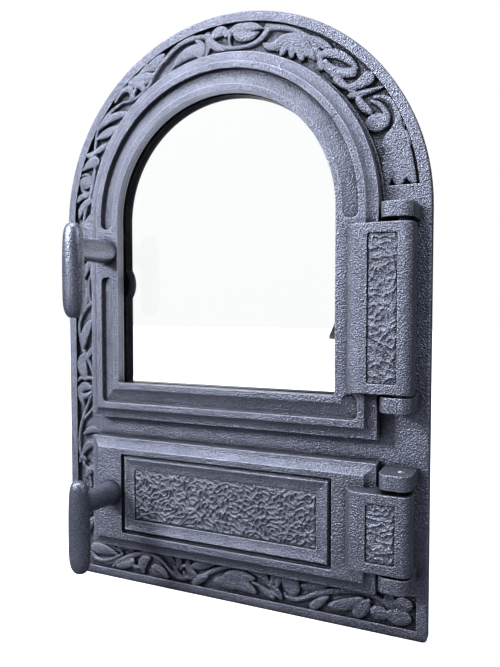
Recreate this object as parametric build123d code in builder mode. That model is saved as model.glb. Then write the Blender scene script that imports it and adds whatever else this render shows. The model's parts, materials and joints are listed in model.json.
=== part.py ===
from build123d import *
import os

os.makedirs("parts", exist_ok=True)

# Frame of reference
# X runs to the right, Z up, and the front looks along -Y.
# The back of the plate is the plane Y = 0, its bottom edge is Z = 0, its middle X = 0.
# Depths below are distances in front of that plane.

# Frame plate
plate_half_width = 165.0
spring_height = 323.0
plate_thickness = 7.0
plate_corner = 4.0
plate_edge_round = 1.6
rim_width = 8.0
relief_depth = 3.5
relief_end_height = 339.0
relief_foot = 34.0

# Collar that is built into the masonry
collar_half_width = 141.0
collar_wall = 4.5
collar_depth = 25.0
collar_foot = 26.0

# Doors
door_half_width = 129.0
upper_door_foot = 152.0
lower_door_foot = 36.0
lower_door_top = 134.0
door_gap = 0.5
door_edge_depth = 12.5
cove_depth = 4.0
cove_width = 8.6
cove_lip = 1.2
cove_sag = 0.8
door_plate = 8.0
door_seat = 9.5
land_margin = 2.0

# Sealing rope behind each door
edge_wall = 4.0
rope_wall = 3.0
rope_wall_gap = 0.6
rope_gap = 0.3

# Groove and window of the upper door
face_strip = 5.1
groove_width = 12.1
groove_depth = 3.6
inner_rim = 5.3
groove_break = 20.5
groove_end_radius = 5.5
groove_corner = 5.0
groove_flare = 0.7
groove_lip = 0.3
groove_middle_share = 0.72
groove_break_drop = 1.0
groove_break_below = 3.0
groove_break_above = 6.0
window_corner = 1.5

# Panel of the lower door
panel_half_width = 96.0
panel_foot = 50.3
panel_head = 120.6
panel_depth = 3.2
panel_border = 12.6
panel_trench = 0.9
panel_crest = 3.8
panel_crest_drop = 0.5
panel_border_drop = 2.0
panel_corner = 1.2

# Hinges
hinge_x = 148.0
hinge_depth = 22.0
pin_diameter = 9.0
pin_fit = 0.02
pin_running = 0.08
pin_proud = 1.0
pin_chamfer = 0.9
lug_left = 14.5
lug_right = 9.0
lug_front = 15.5
lug_height = 10.8
lug_corner = 8.0
lug_bottom_wall = 3.0
washer_thickness = 2.3
washer_step = 1.0
hinge_lift = 3.6
strap_left = 108.0
strap_front = 16.0
strap_shoulder = 11.5
strap_swell_reach = 3.1
strap_swell_drop = 4.6
strap_corner = 6.0
strap_back = 9.0
strap_wall = 6.0
strap_end_wall = 8.0
strap_inset_width = 21.6
strap_inset_x = 136.0
strap_inset_margin = 7.0
strap_inset_depth = 1.4
strap_inset_corner = 2.0
upper_strap_foot = 188.3
upper_strap_height = 120.6
lower_strap_foot = 59.4
lower_strap_height = 57.4

# Glass and what holds it
glass_overlap = 4.1
glass_thickness = 4.0
glass_rope_thickness = 2.0
glass_rope_inset = 0.5
ring_wall = 4.6
ring_depth = 10.5
ring_lug_height = 269.5
ring_lug_radius = 22.0
ring_lug_reach = 3.8
ear_offset = 11.2
ear_radius = 5.0
ear_thickness = 3.0
ear_level = 215.0
ear_foot_x = 55.0
boss_radius = 4.6
screw_diameter = 4.0
screw_fit = 0.05
screw_head_diameter = 7.5
screw_head_height = 2.8
screw_depth = 7.0
screw_end_gap = 1.0
clip_height = 231.5
clip_width = 13.8
clip_thickness = 1.2
clip_tip = 11.5
clip_point = 5.0
clip_screw_diameter = 3.0
clip_screw_head = 5.5
clip_screw_head_height = 1.8
clip_screw_depth = 6.0

# Handles
upper_spindle = (-109.5, 297.0)
lower_spindle = (-106.5, 85.5)
spindle_diameter = 8.0
spindle_running = 0.08
spindle_boss_radius = 6.0
spindle_boss_reach = 6.5
spindle_square = 5.6
square_fit = 0.04
spindle_thread = 5.0
thread_fit = 0.02
spindle_washer_diameter = 13.0
spindle_washer_thickness = 1.5
latch_thickness = 5.0
latch_width = 10.0
latch_hub_radius = 7.5
latch_reach = 21.5
nut_flats = 8.0
nut_height = 4.0
nut_proud = 1.2
arm_root_radius = 10.4
arm_end_radius = 8.2
grip_depth = 60.0
grip_back = 7.0
# Half width and half thickness of the grip at heights above the spindle
grip_sections = (
    (20.6, 3.0, 2.4),
    (18.6, 6.4, 4.8),
    (13.0, 8.4, 6.3),
    (2.0, 9.4, 7.0),
    (-14.0, 10.0, 7.0),
    (-32.0, 10.1, 6.8),
    (-46.0, 9.6, 6.4),
    (-53.0, 7.4, 5.2),
    (-56.4, 3.2, 2.6),
)

# How far a cutting or joined shape runs past a face, and the sine of 45 degrees
overrun = 1.0
diagonal = 0.5 ** 0.5

# Vine carved between rim and door. Each stroke is its start, middle and end, and its widths there
vine_stem_rise = 2.3
vine_leaf_rise = 2.9
# Inner half width of the rim and height of the arch's centre that the strokes are drawn for
vine_drawn_half_width = 157.0
vine_drawn_spring = 323.0
arch_stems = (
    ((-103, 430), (-87, 433), (-74, 443), (2, 3, 3)),
    ((-74, 443), (-67.5, 453), (-59, 461), (3, 3.5, 4)),
    ((-59, 460), (-46, 470), (-31, 474), (4, 4, 5)),
    ((-34.5, 473.8), (-23, 473.5), (-13, 471.5), (3, 4, 4)),
    ((-15, 470), (-2, 461.5), (15, 459.5), (3, 3.5, 2.6)),
    ((15, 459.5), (28, 462), (37, 471), (2.6, 4.2, 5)),
    ((36, 471), (53, 467.2), (67, 460), (6, 4, 4)),
    ((67, 460), (75.5, 450), (80.5, 433), (4, 4.5, 5)),
    ((84, 434), (93, 423.5), (106, 411), (5, 4.6, 4)),
    ((103, 408), (114, 409.5), (129, 412), (4, 4.6, 1)),
    ((131, 384), (130, 394), (120, 402.5), (4, 4, 2)),
    ((122, 405), (137, 398), (140, 377), (3, 5, 6)),
    ((-131, 408), (-120, 420.5), (-103, 430), (3, 3.6, 2)),
    ((-130.5, 410), (-133.5, 394), (-133.5, 377), (3, 3, 3)),
    ((-133.5, 380), (-137, 362), (-140, 348), (2.2, 4, 4)),
    ((-139.6, 351), (-146, 335), (-148, 318), (2.6, 3.4, 3)),
)
side_stems = (
    ((-153.5, 236), (-153.8, 224), (-149, 208), (3, 3.2, 4)),
    ((-139, 184), (-140.5, 171), (-146, 157), (2.5, 3, 3.2)),
    ((-146, 157), (-151.5, 144), (-155, 130), (3.2, 3.6, 3.4)),
    ((-155, 130), (-155, 115), (-149, 100), (3.4, 3.4, 3)),
    ((-149, 100), (-143.5, 86), (-144.5, 70), (3, 3.4, 3)),
    ((-144.5, 70), (-149, 55), (-154, 42), (3, 3.4, 3)),
    ((-139, 280), (-143, 268), (-141, 253), (3, 3, 3)),
    ((-148, 318), (-144, 300), (-139, 280), (3, 3.4, 3)),
)
foot_stems = (
    ((-144, 19.5), (-131, 13.2), (-108, 23), (2.6, 4, 2.4)),
    ((-154, 42), (-152, 28), (-143, 18), (3, 3.4, 3)),
    ((-118, 10.5), (-103, 20.5), (-84, 28), (2, 4.6, 3.6)),
    ((-61, 20), (-52, 13), (-42, 12), (2, 4.5, 4)),
    ((-43, 17.5), (-37, 13.6), (-20, 20), (2.6, 3.6, 3.6)),
    ((-20, 20), (-9, 26), (3, 30.5), (3.6, 4, 3)),
    ((71, 16.8), (89, 25), (113.6, 29.2), (3.6, 4.6, 2.6)),
    ((109, 29.2), (126, 28), (136, 21.5), (2.4, 4, 2)),
)
arch_leaves = (
    ((-134, 381), (-140, 379), (-148, 374), (9, 7.5, 1)),
    ((-149.5, 362.5), (-144.5, 362.8), (-139.5, 362.5), (4, 11, 4)),
    ((-137, 345), (-146, 343), (-152, 331), (3, 6, 1.5)),
    ((-135, 334), (-142, 322), (-139, 309), (4, 10, 3)),
    ((-130, 401), (-120, 405), (-108, 408.5), (2, 7.5, 4)),
    ((-130, 409), (-118, 416.8), (-100, 420), (3, 6.5, 4)),
    ((-95.5, 446), (-85, 446.5), (-71, 449.5), (4, 11, 3)),
    ((-75.5, 454.5), (-69.5, 458.5), (-60.5, 464.5), (3, 9, 3)),
    ((-51.5, 451.5), (-39.5, 460.8), (-25.5, 463), (1, 8.6, 10)),
    ((-24.5, 459), (-23.8, 466), (-29, 471), (7, 6.5, 1)),
    ((-14, 470.5), (-7, 474.8), (-1, 473.5), (3, 8, 5)),
    ((5, 472.8), (15, 474.5), (32, 470.8), (5, 7.4, 1)),
    ((7.5, 469.5), (16, 467), (28.5, 468.3), (3, 7.2, 1)),
    ((32.5, 459), (40, 455.3), (53, 459), (1, 6.5, 7)),
    ((46, 457), (58.5, 455.5), (70, 446), (8, 13, 7)),
    ((51, 453), (49, 450.2), (47.5, 447.5), (6, 5, 2.5)),
    ((57, 452), (56.5, 448), (56.5, 445), (6, 5.5, 3)),
    ((63, 450), (64, 445.5), (65, 441.5), (6, 6, 3)),
    ((65, 451), (71, 446), (75.2, 439.5), (7, 7, 1)),
    ((72, 457.5), (80, 451.5), (88, 446.5), (2, 6.5, 2)),
    ((82, 443), (96, 439.5), (108.5, 428), (5, 6.6, 2)),
    ((84, 436.5), (92, 428.8), (105, 425.5), (4, 6, 7)),
    ((92, 421), (103.5, 415), (117, 419.8), (4, 4.5, 10)),
    ((110, 404.5), (113.5, 399), (119, 394.5), (5, 6.5, 4)),
    ((117.5, 386), (124, 386.2), (130.5, 386), (4, 13, 4)),
    ((139.6, 386), (139, 379), (139, 370), (5, 9, 21)),
    ((134.5, 363), (132, 351), (131.8, 339.5), (7, 9, 3)),
    ((140.5, 360.5), (140.7, 350), (140.5, 340.5), (9, 12, 5)),
    ((146, 363), (147.5, 351), (152.5, 339.5), (7, 9, 2.5)),
)
side_leaves = (
    ((-138, 292), (-145, 284), (-147, 276), (3, 6, 2)),
    ((-138.5, 237), (-146.5, 226), (-149, 212), (2, 8.5, 3)),
    ((-149, 205), (-151.5, 195), (-147, 184), (2, 10.5, 4)),
    ((-154.5, 169), (-149, 175), (-140, 173.4), (3, 8, 1.6)),
    ((-154, 173), (-153.2, 166), (-149.5, 158), (5, 6, 2)),
    ((-149.5, 130.5), (-142, 135), (-133, 134.5), (2.5, 5.5, 4)),
    ((-151, 111.5), (-145.5, 120), (-137, 121), (2, 6.6, 4)),
    ((-148, 89), (-143.5, 97), (-136, 99), (2, 6.6, 3)),
    ((-150, 80), (-152.5, 70), (-150, 60), (2, 6.6, 2)),
    ((-138, 74), (-140, 64), (-147, 55), (3, 6.6, 2)),
    ((-138, 52), (-144, 46), (-148, 36), (3, 6.6, 3)),
)
foot_leaves = (
    ((-140.5, 23.5), (-131, 24.2), (-114, 22.3), (7, 9.5, 1.5)),
    ((-113, 11), (-103, 14.5), (-96, 18.5), (3, 7, 4)),
    ((-78, 23.8), (-85.5, 19), (-84.5, 10), (2, 9, 1.2)),
    ((-75, 16), (-69, 16), (-60, 10.5), (2, 7, 3)),
    ((-38, 28), (-38, 22), (-33, 16.5), (3, 6.4, 7)),
    ((-34.5, 24), (-26, 26.8), (-13, 30.5), (2, 7.4, 2)),
    ((-33, 10), (-27, 14), (-20, 18), (4, 6.4, 3)),
    ((-12.5, 15.5), (-4, 16.5), (4, 15), (1, 9, 8)),
    ((-2, 20), (9, 23), (24, 24), (6, 11, 2.5)),
    ((4, 15.5), (14, 16.5), (25, 13), (6, 10, 3.5)),
    ((53, 28), (57.5, 24), (58, 17), (7, 14, 3)),
    ((67, 25.5), (76, 26.8), (88, 30), (2.5, 6.6, 1.5)),
    ((76, 10.5), (81, 15), (88.5, 20.5), (6, 6.6, 1.5)),
    ((89, 14.5), (101, 17), (116.2, 25), (1.5, 9, 2)),
    ((111, 11.5), (115, 16), (121, 24), (4, 10, 3)),
    ((135.5, 15.5), (143, 15.8), (151, 15.5), (3, 12, 5)),
)

# Depths worked out from the sizes above
floor_depth = plate_thickness - relief_depth
door_foot_depth = plate_thickness + door_gap
lip_depth = plate_thickness + door_edge_depth
face_depth = lip_depth + cove_depth
door_back_depth = face_depth - door_plate
glass_front_depth = door_back_depth - glass_rope_thickness
glass_back_depth = glass_front_depth - glass_thickness
boss_end_depth = plate_thickness - spindle_boss_reach
latch_front_depth = boss_end_depth - spindle_washer_thickness
latch_back_depth = latch_front_depth - latch_thickness
nut_back_depth = latch_back_depth - nut_height
ring_back_depth = glass_back_depth - ring_depth
ear_back_depth = glass_back_depth - ear_thickness
strap_face_depth = hinge_depth + strap_front

# Insets from the outer edge of a door
face_inset = cove_width
groove_inset = face_inset + face_strip
rim_inset = groove_inset + groove_width
window_inset = rim_inset + inner_rim
rope_inset = edge_wall

opening_half_width = door_half_width - door_seat
window_half_width = door_half_width - window_inset
window_foot = upper_door_foot + window_inset


def depth_plane(depth):
    """Plane parallel to the plate, at a distance in front of its back."""
    return Plane.XZ.offset(depth)


def arched_face(half_width, foot, corner=0.0):
    """Upright shape with a half-round head; corner rounds its two lower corners."""
    with BuildSketch() as shape:
        with BuildLine():
            side = Line((-half_width, spring_height), (-half_width, foot))
            sill = Line(side @ 1, (half_width, foot))
            rise = Line(sill @ 1, (half_width, spring_height))
            ThreePointArc(rise @ 1, (0, spring_height + half_width), side @ 0)
        make_face()
        if corner > 0:
            fillet(shape.vertices().group_by(Axis.Y)[0], corner)
    return shape.sketch


def upper_face(inset, corner=0.0):
    """Outline of the upper door, moved inwards by an inset."""
    return arched_face(door_half_width - inset, upper_door_foot + inset, corner)


def lower_face(inset, corner=0.0):
    """Outline of the lower door, moved inwards by an inset."""
    width = 2 * (door_half_width - inset)
    height = lower_door_top - lower_door_foot - 2 * inset
    with BuildSketch() as shape:
        with Locations((0, (lower_door_top + lower_door_foot) / 2)):
            Rectangle(width, height)
        if corner > 0:
            fillet(shape.vertices(), corner)
    return shape.sketch


def block(left, right, foot, head, back, front):
    """Plain solid between two heights, two sides and two depths."""
    with BuildPart() as solid:
        with BuildSketch(depth_plane(back)):
            with Locations(((left + right) / 2, (foot + head) / 2)):
                Rectangle(right - left, head - foot)
        extrude(amount=front - back)
    return solid.part


def section_plane():
    """Upright plane across the middle of a door's foot: height along x, depth along y."""
    return Plane(origin=(0, 0, 0), x_dir=(0, 0, 1), z_dir=(1, 0, 0))


def upper_path():
    """Edge of the upper door, from the middle of its foot and back to it."""
    with BuildLine(Plane.XZ) as path:
        start = Line((0, upper_door_foot), (door_half_width, upper_door_foot))
        rise = Line(start @ 1, (door_half_width, spring_height))
        head = ThreePointArc(
            rise @ 1, (0, spring_height + door_half_width), (-door_half_width, spring_height)
        )
        fall = Line((-door_half_width, spring_height), (-door_half_width, upper_door_foot))
        Line(fall @ 1, start @ 0)
    return path.line


def lower_path(half_width, foot, head):
    """Rectangle as a path, from the middle of its foot and back to it."""
    with BuildLine(Plane.XZ) as path:
        Polyline(
            (0, foot), (half_width, foot), (half_width, head),
            (-half_width, head), (-half_width, foot), (0, foot),
        )
    return path.line


def cove_cutter(path, foot):
    """What the hollow moulding takes off round a door's front edge."""
    lip = foot + cove_lip
    edge = foot + cove_width
    middle_height = (lip + edge) / 2 + cove_sag / 2
    middle_depth = (lip_depth + face_depth) / 2 - cove_sag
    outside = foot - 2.0
    above = face_depth + 2.0
    with BuildPart() as cutter:
        with BuildSketch(section_plane()):
            with BuildLine():
                floor = Line((outside, lip_depth), (lip, lip_depth))
                hollow = ThreePointArc(
                    floor @ 1, (middle_height, middle_depth), (edge, face_depth)
                )
                Polyline(hollow @ 1, (edge, above), (outside, above), floor @ 0)
            make_face()
        sweep(path=path, transition=Transition.RIGHT)
    return cutter.part


def hinge_washer(foot, name):
    """Washer on the pin that carries a door's hinge plate."""
    with BuildPart() as washer:
        with BuildSketch(Plane.XY.offset(foot)):
            with Locations((hinge_x, -hinge_depth)):
                Circle(lug_right - washer_step)
                Circle(pin_diameter / 2 + pin_fit, mode=Mode.SUBTRACT)
        extrude(amount=washer_thickness)
    washer.part.label = name
    export_step(washer.part, f"parts/{name}.step")


def lug_profile():
    """Plan of a hinge lug, from inside the plate to its rounded front corners."""
    front = -(hinge_depth + lug_front)
    left = hinge_x - lug_left
    right = hinge_x + lug_right
    with BuildSketch() as shape:
        with Locations(((left + right) / 2, (front - floor_depth) / 2)):
            Rectangle(right - left, -front - floor_depth)
        fillet(shape.vertices().group_by(Axis.Y)[0], lug_corner)
    return shape.sketch


def strap_profile():
    """Plan of a hinge plate: it swells from the door's face and turns round the pin."""
    axis = Vector(hinge_x, -hinge_depth)
    front = -strap_face_depth
    right = hinge_x + lug_right
    root = door_half_width - edge_wall
    with BuildSketch() as shape:
        with BuildLine():
            swell = ThreePointArc(
                (strap_left, -face_depth + overrun),
                (strap_left + strap_swell_reach, front + strap_swell_drop),
                (strap_left + strap_shoulder, front),
            )
            flat = Line(swell @ 1, (right - strap_corner, front))
            turn = ThreePointArc(
                flat @ 1,
                (right - strap_corner * (1 - diagonal), front + strap_corner * (1 - diagonal)),
                (right, front + strap_corner),
            )
            side = Line(turn @ 1, (right, axis.Y))
            barrel = ThreePointArc(
                side @ 1,
                (axis.X + strap_back * diagonal, axis.Y + strap_back * diagonal),
                (axis.X, axis.Y + strap_back),
            )
            Polyline(
                barrel @ 1,
                (root, axis.Y + strap_back),
                (root, -face_depth + overrun),
                swell @ 0,
            )
        make_face()
    return shape.sketch


def hinge_strap(foot, height):
    """Hinge plate of a door, hollow behind, with a sunk field on its front."""
    head = foot + height
    pocket_right = hinge_x - pin_diameter / 2 - strap_wall
    pocket_front = strap_face_depth - strap_wall
    with BuildPart() as strap:
        with BuildSketch(Plane.XY.offset(foot)):
            add(strap_profile())
        extrude(amount=height)
        add(
            block(
                door_half_width, pocket_right,
                foot + strap_end_wall, head - strap_end_wall,
                hinge_depth - strap_back - overrun, pocket_front,
            ),
            mode=Mode.SUBTRACT,
        )
        with BuildSketch(depth_plane(strap_face_depth)) as field:
            with Locations((strap_inset_x, foot + height / 2)):
                Rectangle(strap_inset_width, height - 2 * strap_inset_margin)
            fillet(field.vertices(), strap_inset_corner)
        extrude(amount=-strap_inset_depth, mode=Mode.SUBTRACT)
    return strap.part


def door_shell(outline, path, foot):
    """Door casting before its window or panel: hollow-edged plate with a rope channel."""
    with BuildPart() as shell:
        with BuildSketch(depth_plane(door_foot_depth)):
            add(outline(0))
        extrude(amount=face_depth - door_foot_depth)
        with BuildSketch(depth_plane(door_foot_depth)):
            add(outline(edge_wall))
        extrude(amount=door_back_depth - door_foot_depth, mode=Mode.SUBTRACT)
        with BuildSketch(depth_plane(plate_thickness + rope_wall_gap)):
            add(outline(door_seat))
            add(outline(door_seat + rope_wall), mode=Mode.SUBTRACT)
        extrude(amount=door_back_depth - plate_thickness - rope_wall_gap)
        add(cove_cutter(path, foot), mode=Mode.SUBTRACT)
    return shell.part


def spindle_boss(spot):
    """Boss behind a door that carries the handle's spindle."""
    with BuildPart() as boss:
        with BuildSketch(depth_plane(boss_end_depth)):
            with Locations(spot):
                Circle(spindle_boss_radius)
        extrude(amount=door_back_depth - boss_end_depth)
    return boss.part


def drill(spot, diameter, back, front):
    """Round hole square to the plate, between two depths."""
    with BuildPart() as bore:
        with BuildSketch(depth_plane(back)):
            with Locations(spot):
                Circle(diameter / 2)
        extrude(amount=front - back)
    return bore.part


def hinge_bore(foot, head, diameter):
    """Round hole on the hinge axis between two heights."""
    with BuildPart() as bore:
        with BuildSketch(Plane.XY.offset(foot)):
            with Locations((hinge_x, -hinge_depth)):
                Circle(diameter / 2)
        extrude(amount=head - foot)
    return bore.part


def lug_levels(strap_foot, strap_height):
    """Foot of the lower and of the upper lug of a hinge."""
    return (
        strap_foot - washer_thickness - lug_height,
        strap_foot + strap_height + hinge_lift,
    )


def relief_band():
    """Sunk band between rim and doors; the plate stays plain beside the hinges."""
    plain_left = door_half_width + land_margin
    with BuildSketch() as band:
        add(arched_face(plate_half_width - rim_width, rim_width))
        add(arched_face(plain_left, relief_foot), mode=Mode.SUBTRACT)
        with Locations(
            ((plain_left + plate_half_width) / 2, (relief_foot + relief_end_height) / 2)
        ):
            Rectangle(
                plate_half_width - plain_left,
                relief_end_height - relief_foot,
                mode=Mode.SUBTRACT,
            )
    return band.sketch


def vine_spot(spot):
    """Place of a spot of the drawn vine: the drawing stretches with the rim and the arch."""
    stretch = (plate_half_width - rim_width) / vine_drawn_half_width
    x, z = spot
    if z > vine_drawn_spring:
        return x * stretch, spring_height + (z - vine_drawn_spring) * stretch
    return x * stretch, z * spring_height / vine_drawn_spring


def stroke(start, middle, end, widths):
    """Tapered stroke of a carving: an arc through three points, with a width at each."""
    spots = [Vector(*spot) for spot in (start, middle, end)]
    chord = spots[2] - spots[0]
    run_in = (spots[1] - spots[0]).normalized() * 2 - chord.normalized()
    run_out = (spots[2] - spots[1]).normalized() * 2 - chord.normalized()
    near, far = [], []
    for spot, run, width in zip(spots, (run_in, chord, run_out), widths):
        across = run.normalized().rotate(Axis.Z, 90) * (width / 2)
        near.append(spot + across)
        far.append(spot - across)
    with BuildSketch() as shape:
        with BuildLine():
            ThreePointArc(*near)
            Line(near[2], far[2])
            ThreePointArc(*reversed(far))
            Line(far[0], near[0])
        make_face()
    return shape.sketch


hinges = (
    ("upper", upper_strap_foot, upper_strap_height),
    ("lower", lower_strap_foot, lower_strap_height),
)

# Frame casting
with BuildPart() as frame:
    with BuildSketch(depth_plane(0)):
        add(arched_face(plate_half_width, 0, plate_corner))
    extrude(amount=plate_thickness)
    fillet(frame.faces().sort_by(Axis.Y)[0].edges(), plate_edge_round)
    with BuildSketch(depth_plane(plate_thickness)):
        add(relief_band())
    extrude(amount=-relief_depth, mode=Mode.SUBTRACT)
    for strokes, rise in (
        (arch_stems + side_stems + foot_stems, vine_stem_rise),
        (arch_leaves + side_leaves + foot_leaves, vine_leaf_rise),
    ):
        with BuildSketch(depth_plane(floor_depth)):
            for start, middle, end, widths in strokes:
                add(stroke(vine_spot(start), vine_spot(middle), vine_spot(end), widths))
            add(relief_band(), mode=Mode.INTERSECT)
        extrude(amount=rise)
    with BuildSketch(depth_plane(0)):
        add(arched_face(collar_half_width, collar_foot, plate_corner))
        add(
            arched_face(collar_half_width - collar_wall, collar_foot + collar_wall),
            mode=Mode.SUBTRACT,
        )
    extrude(amount=-collar_depth)
    with BuildSketch(depth_plane(0)):
        add(upper_face(door_seat))
        add(lower_face(door_seat))
    extrude(amount=plate_thickness, mode=Mode.SUBTRACT)
    for _, strap_foot, strap_height in hinges:
        for level in lug_levels(strap_foot, strap_height):
            with BuildSketch(Plane.XY.offset(level)):
                add(lug_profile())
            extrude(amount=lug_height)
    for _, strap_foot, strap_height in hinges:
        lowest, highest = lug_levels(strap_foot, strap_height)
        add(
            hinge_bore(
                lowest + lug_bottom_wall, highest + lug_height,
                pin_diameter + 2 * pin_fit,
            ),
            mode=Mode.SUBTRACT,
        )
frame.part.label = "frame"
export_step(frame.part, "parts/frame.step")

# Hinge pins and the washers that carry the doors
for name, strap_foot, strap_height in hinges:
    lowest, highest = lug_levels(strap_foot, strap_height)
    pin_foot = lowest + lug_bottom_wall
    pin_head = highest + lug_height + pin_proud
    with BuildPart() as pin:
        with BuildSketch(Plane.XY.offset(pin_foot)):
            with Locations((hinge_x, -hinge_depth)):
                Circle(pin_diameter / 2)
        extrude(amount=pin_head - pin_foot)
        chamfer(pin.edges().filter_by(GeomType.CIRCLE), pin_chamfer)
    pin.part.label = f"{name}_hinge_pin"
    export_step(pin.part, f"parts/{name}_hinge_pin.step")
    hinge_washer(strap_foot - washer_thickness, f"{name}_hinge_washer")

# Groove round the window, broken at the handle and at the hinge plate
with BuildPart() as groove:
    outer = upper_door_foot + groove_inset
    inner = upper_door_foot + rim_inset
    with BuildSketch(section_plane()):
        with BuildLine():
            wall = Polyline(
                (inner, face_depth + overrun),
                (outer, face_depth + overrun),
                (outer, face_depth),
                (outer + groove_flare, face_depth - groove_depth),
            )
            floor = ThreePointArc(
                wall @ 1,
                ((outer + inner) / 2, face_depth - groove_depth * groove_middle_share),
                (inner, face_depth - groove_lip),
            )
            Line(floor @ 1, wall @ 0)
        make_face()
    sweep(path=upper_path(), transition=Transition.RIGHT)
    with BuildSketch(depth_plane(face_depth - groove_depth - overrun)) as mask:
        add(upper_face(groove_inset, groove_corner))
        add(upper_face(rim_inset), mode=Mode.SUBTRACT)
        break_middle = upper_spindle[1] - groove_break_drop
        with Locations((upper_spindle[0], break_middle)):
            Rectangle(3 * groove_width, 2 * groove_break, mode=Mode.SUBTRACT)
        break_foot = upper_strap_foot - groove_break_below
        break_head = upper_strap_foot + upper_strap_height + groove_break_above
        with Locations((-upper_spindle[0], (break_foot + break_head) / 2)):
            Rectangle(3 * groove_width, break_head - break_foot, mode=Mode.SUBTRACT)
        end_levels = (
            break_middle - groove_break, break_middle + groove_break, break_foot, break_head,
        )
        ends = [
            corner for corner in mask.vertices()
            if min(abs(corner.Y - level) for level in end_levels) < 0.01
        ]
        fillet(ends, groove_end_radius)
    extrude(amount=groove_depth + 3 * overrun, mode=Mode.INTERSECT)

# Ears that hold the glass ring: place, and the way from each one in to the ring
ear_half_width = window_half_width + ear_offset
ear_slant = ear_half_width * diagonal
ears = (
    (-ear_half_width, ear_level, 0),
    (ear_half_width, ear_level, 180),
    (-ear_slant, spring_height + ear_slant, -45),
    (ear_slant, spring_height + ear_slant, -135),
    (-ear_foot_x, window_foot - ear_offset, 90),
    (ear_foot_x, window_foot - ear_offset, 90),
)

# Upper door casting
with BuildPart() as upper_door:
    add(door_shell(upper_face, upper_path(), upper_door_foot))
    add(hinge_strap(upper_strap_foot, upper_strap_height))
    add(groove.part, mode=Mode.SUBTRACT)
    add(spindle_boss(upper_spindle))
    for x, z, turn in ears:
        add(drill((x, z), 2 * boss_radius, glass_back_depth, door_back_depth))
    with BuildSketch(depth_plane(0)):
        add(upper_face(window_inset, window_corner))
    extrude(amount=face_depth, mode=Mode.SUBTRACT)
    add(
        drill(
            upper_spindle, spindle_diameter + 2 * spindle_running,
            boss_end_depth, face_depth,
        ),
        mode=Mode.SUBTRACT,
    )
    for x, z, turn in ears:
        add(
            drill(
                (x, z), screw_diameter + 2 * screw_fit,
                glass_back_depth, glass_back_depth + screw_depth,
            ),
            mode=Mode.SUBTRACT,
        )
    add(
        hinge_bore(
            upper_strap_foot, upper_strap_foot + upper_strap_height,
            pin_diameter + 2 * pin_running,
        ),
        mode=Mode.SUBTRACT,
    )
upper_door.part.label = "upper_door"
export_step(upper_door.part, "parts/upper_door.step")

# Lower door casting
with BuildPart() as lower_door:
    add(
        door_shell(
            lower_face,
            lower_path(door_half_width, lower_door_foot, lower_door_top),
            lower_door_foot,
        )
    )
    with BuildSketch(depth_plane(face_depth)) as panel:
        with Locations((0, (panel_foot + panel_head) / 2)):
            Rectangle(2 * panel_half_width, panel_head - panel_foot)
        fillet(panel.vertices(), panel_corner)
    extrude(amount=-panel_depth, mode=Mode.SUBTRACT)
    with BuildSketch(section_plane()):
        trench = panel_foot + panel_trench
        crest = panel_foot + panel_crest
        border = panel_foot + panel_border
        with BuildLine():
            rise = Line(
                (trench, face_depth - panel_depth), (crest, face_depth - panel_crest_drop)
            )
            slope = ThreePointArc(
                rise @ 1,
                ((crest + border) / 2, face_depth - panel_border_drop * 0.8),
                (border, face_depth - panel_border_drop),
            )
            Polyline(slope @ 1, (border, face_depth - panel_depth), rise @ 0)
        make_face()
    sweep(
        path=lower_path(panel_half_width, panel_foot, panel_head),
        transition=Transition.RIGHT,
    )
    add(hinge_strap(lower_strap_foot, lower_strap_height))
    add(spindle_boss(lower_spindle))
    add(
        drill(
            lower_spindle, spindle_diameter + 2 * spindle_running,
            boss_end_depth, face_depth,
        ),
        mode=Mode.SUBTRACT,
    )
    add(
        hinge_bore(
            lower_strap_foot, lower_strap_foot + lower_strap_height,
            pin_diameter + 2 * pin_running,
        ),
        mode=Mode.SUBTRACT,
    )
lower_door.part.label = "lower_door"
export_step(lower_door.part, "parts/lower_door.step")

# Sealing ropes in the channels behind the doors
for name, outline in (("upper", upper_face), ("lower", lower_face)):
    with BuildPart() as rope:
        with BuildSketch(depth_plane(plate_thickness + rope_gap)):
            add(outline(rope_inset))
            add(outline(door_seat), mode=Mode.SUBTRACT)
        extrude(amount=door_back_depth - plate_thickness - rope_gap)
    rope.part.label = f"{name}_door_rope"
    export_step(rope.part, f"parts/{name}_door_rope.step")

# Glass and its rope
with BuildPart() as glass:
    with BuildSketch(depth_plane(glass_back_depth)):
        add(upper_face(window_inset - glass_overlap))
    extrude(amount=glass_thickness)
glass.part.label = "glass_pane"
export_step(glass.part, "parts/glass_pane.step")

with BuildPart() as glass_rope:
    with BuildSketch(depth_plane(glass_front_depth)):
        add(upper_face(window_inset - glass_overlap))
        add(upper_face(window_inset - glass_rope_inset), mode=Mode.SUBTRACT)
    extrude(amount=glass_rope_thickness)
glass_rope.part.label = "glass_rope"
export_step(glass_rope.part, "parts/glass_rope.step")

# Ring that clamps the glass, with its ears and its two half-round lugs
ear_tab = ear_offset - ring_wall + overrun
lug_centre_x = window_half_width - ring_lug_reach + ring_lug_radius
clip_screw_spot = (window_half_width + ring_wall / 2, clip_height)


def ring_bore():
    """Inner outline of the ring: the window's, less a half-round lug on each side."""
    with BuildSketch() as outline:
        add(upper_face(window_inset))
        with Locations((-lug_centre_x, ring_lug_height), (lug_centre_x, ring_lug_height)):
            Circle(ring_lug_radius, mode=Mode.SUBTRACT)
    return outline.sketch


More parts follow.
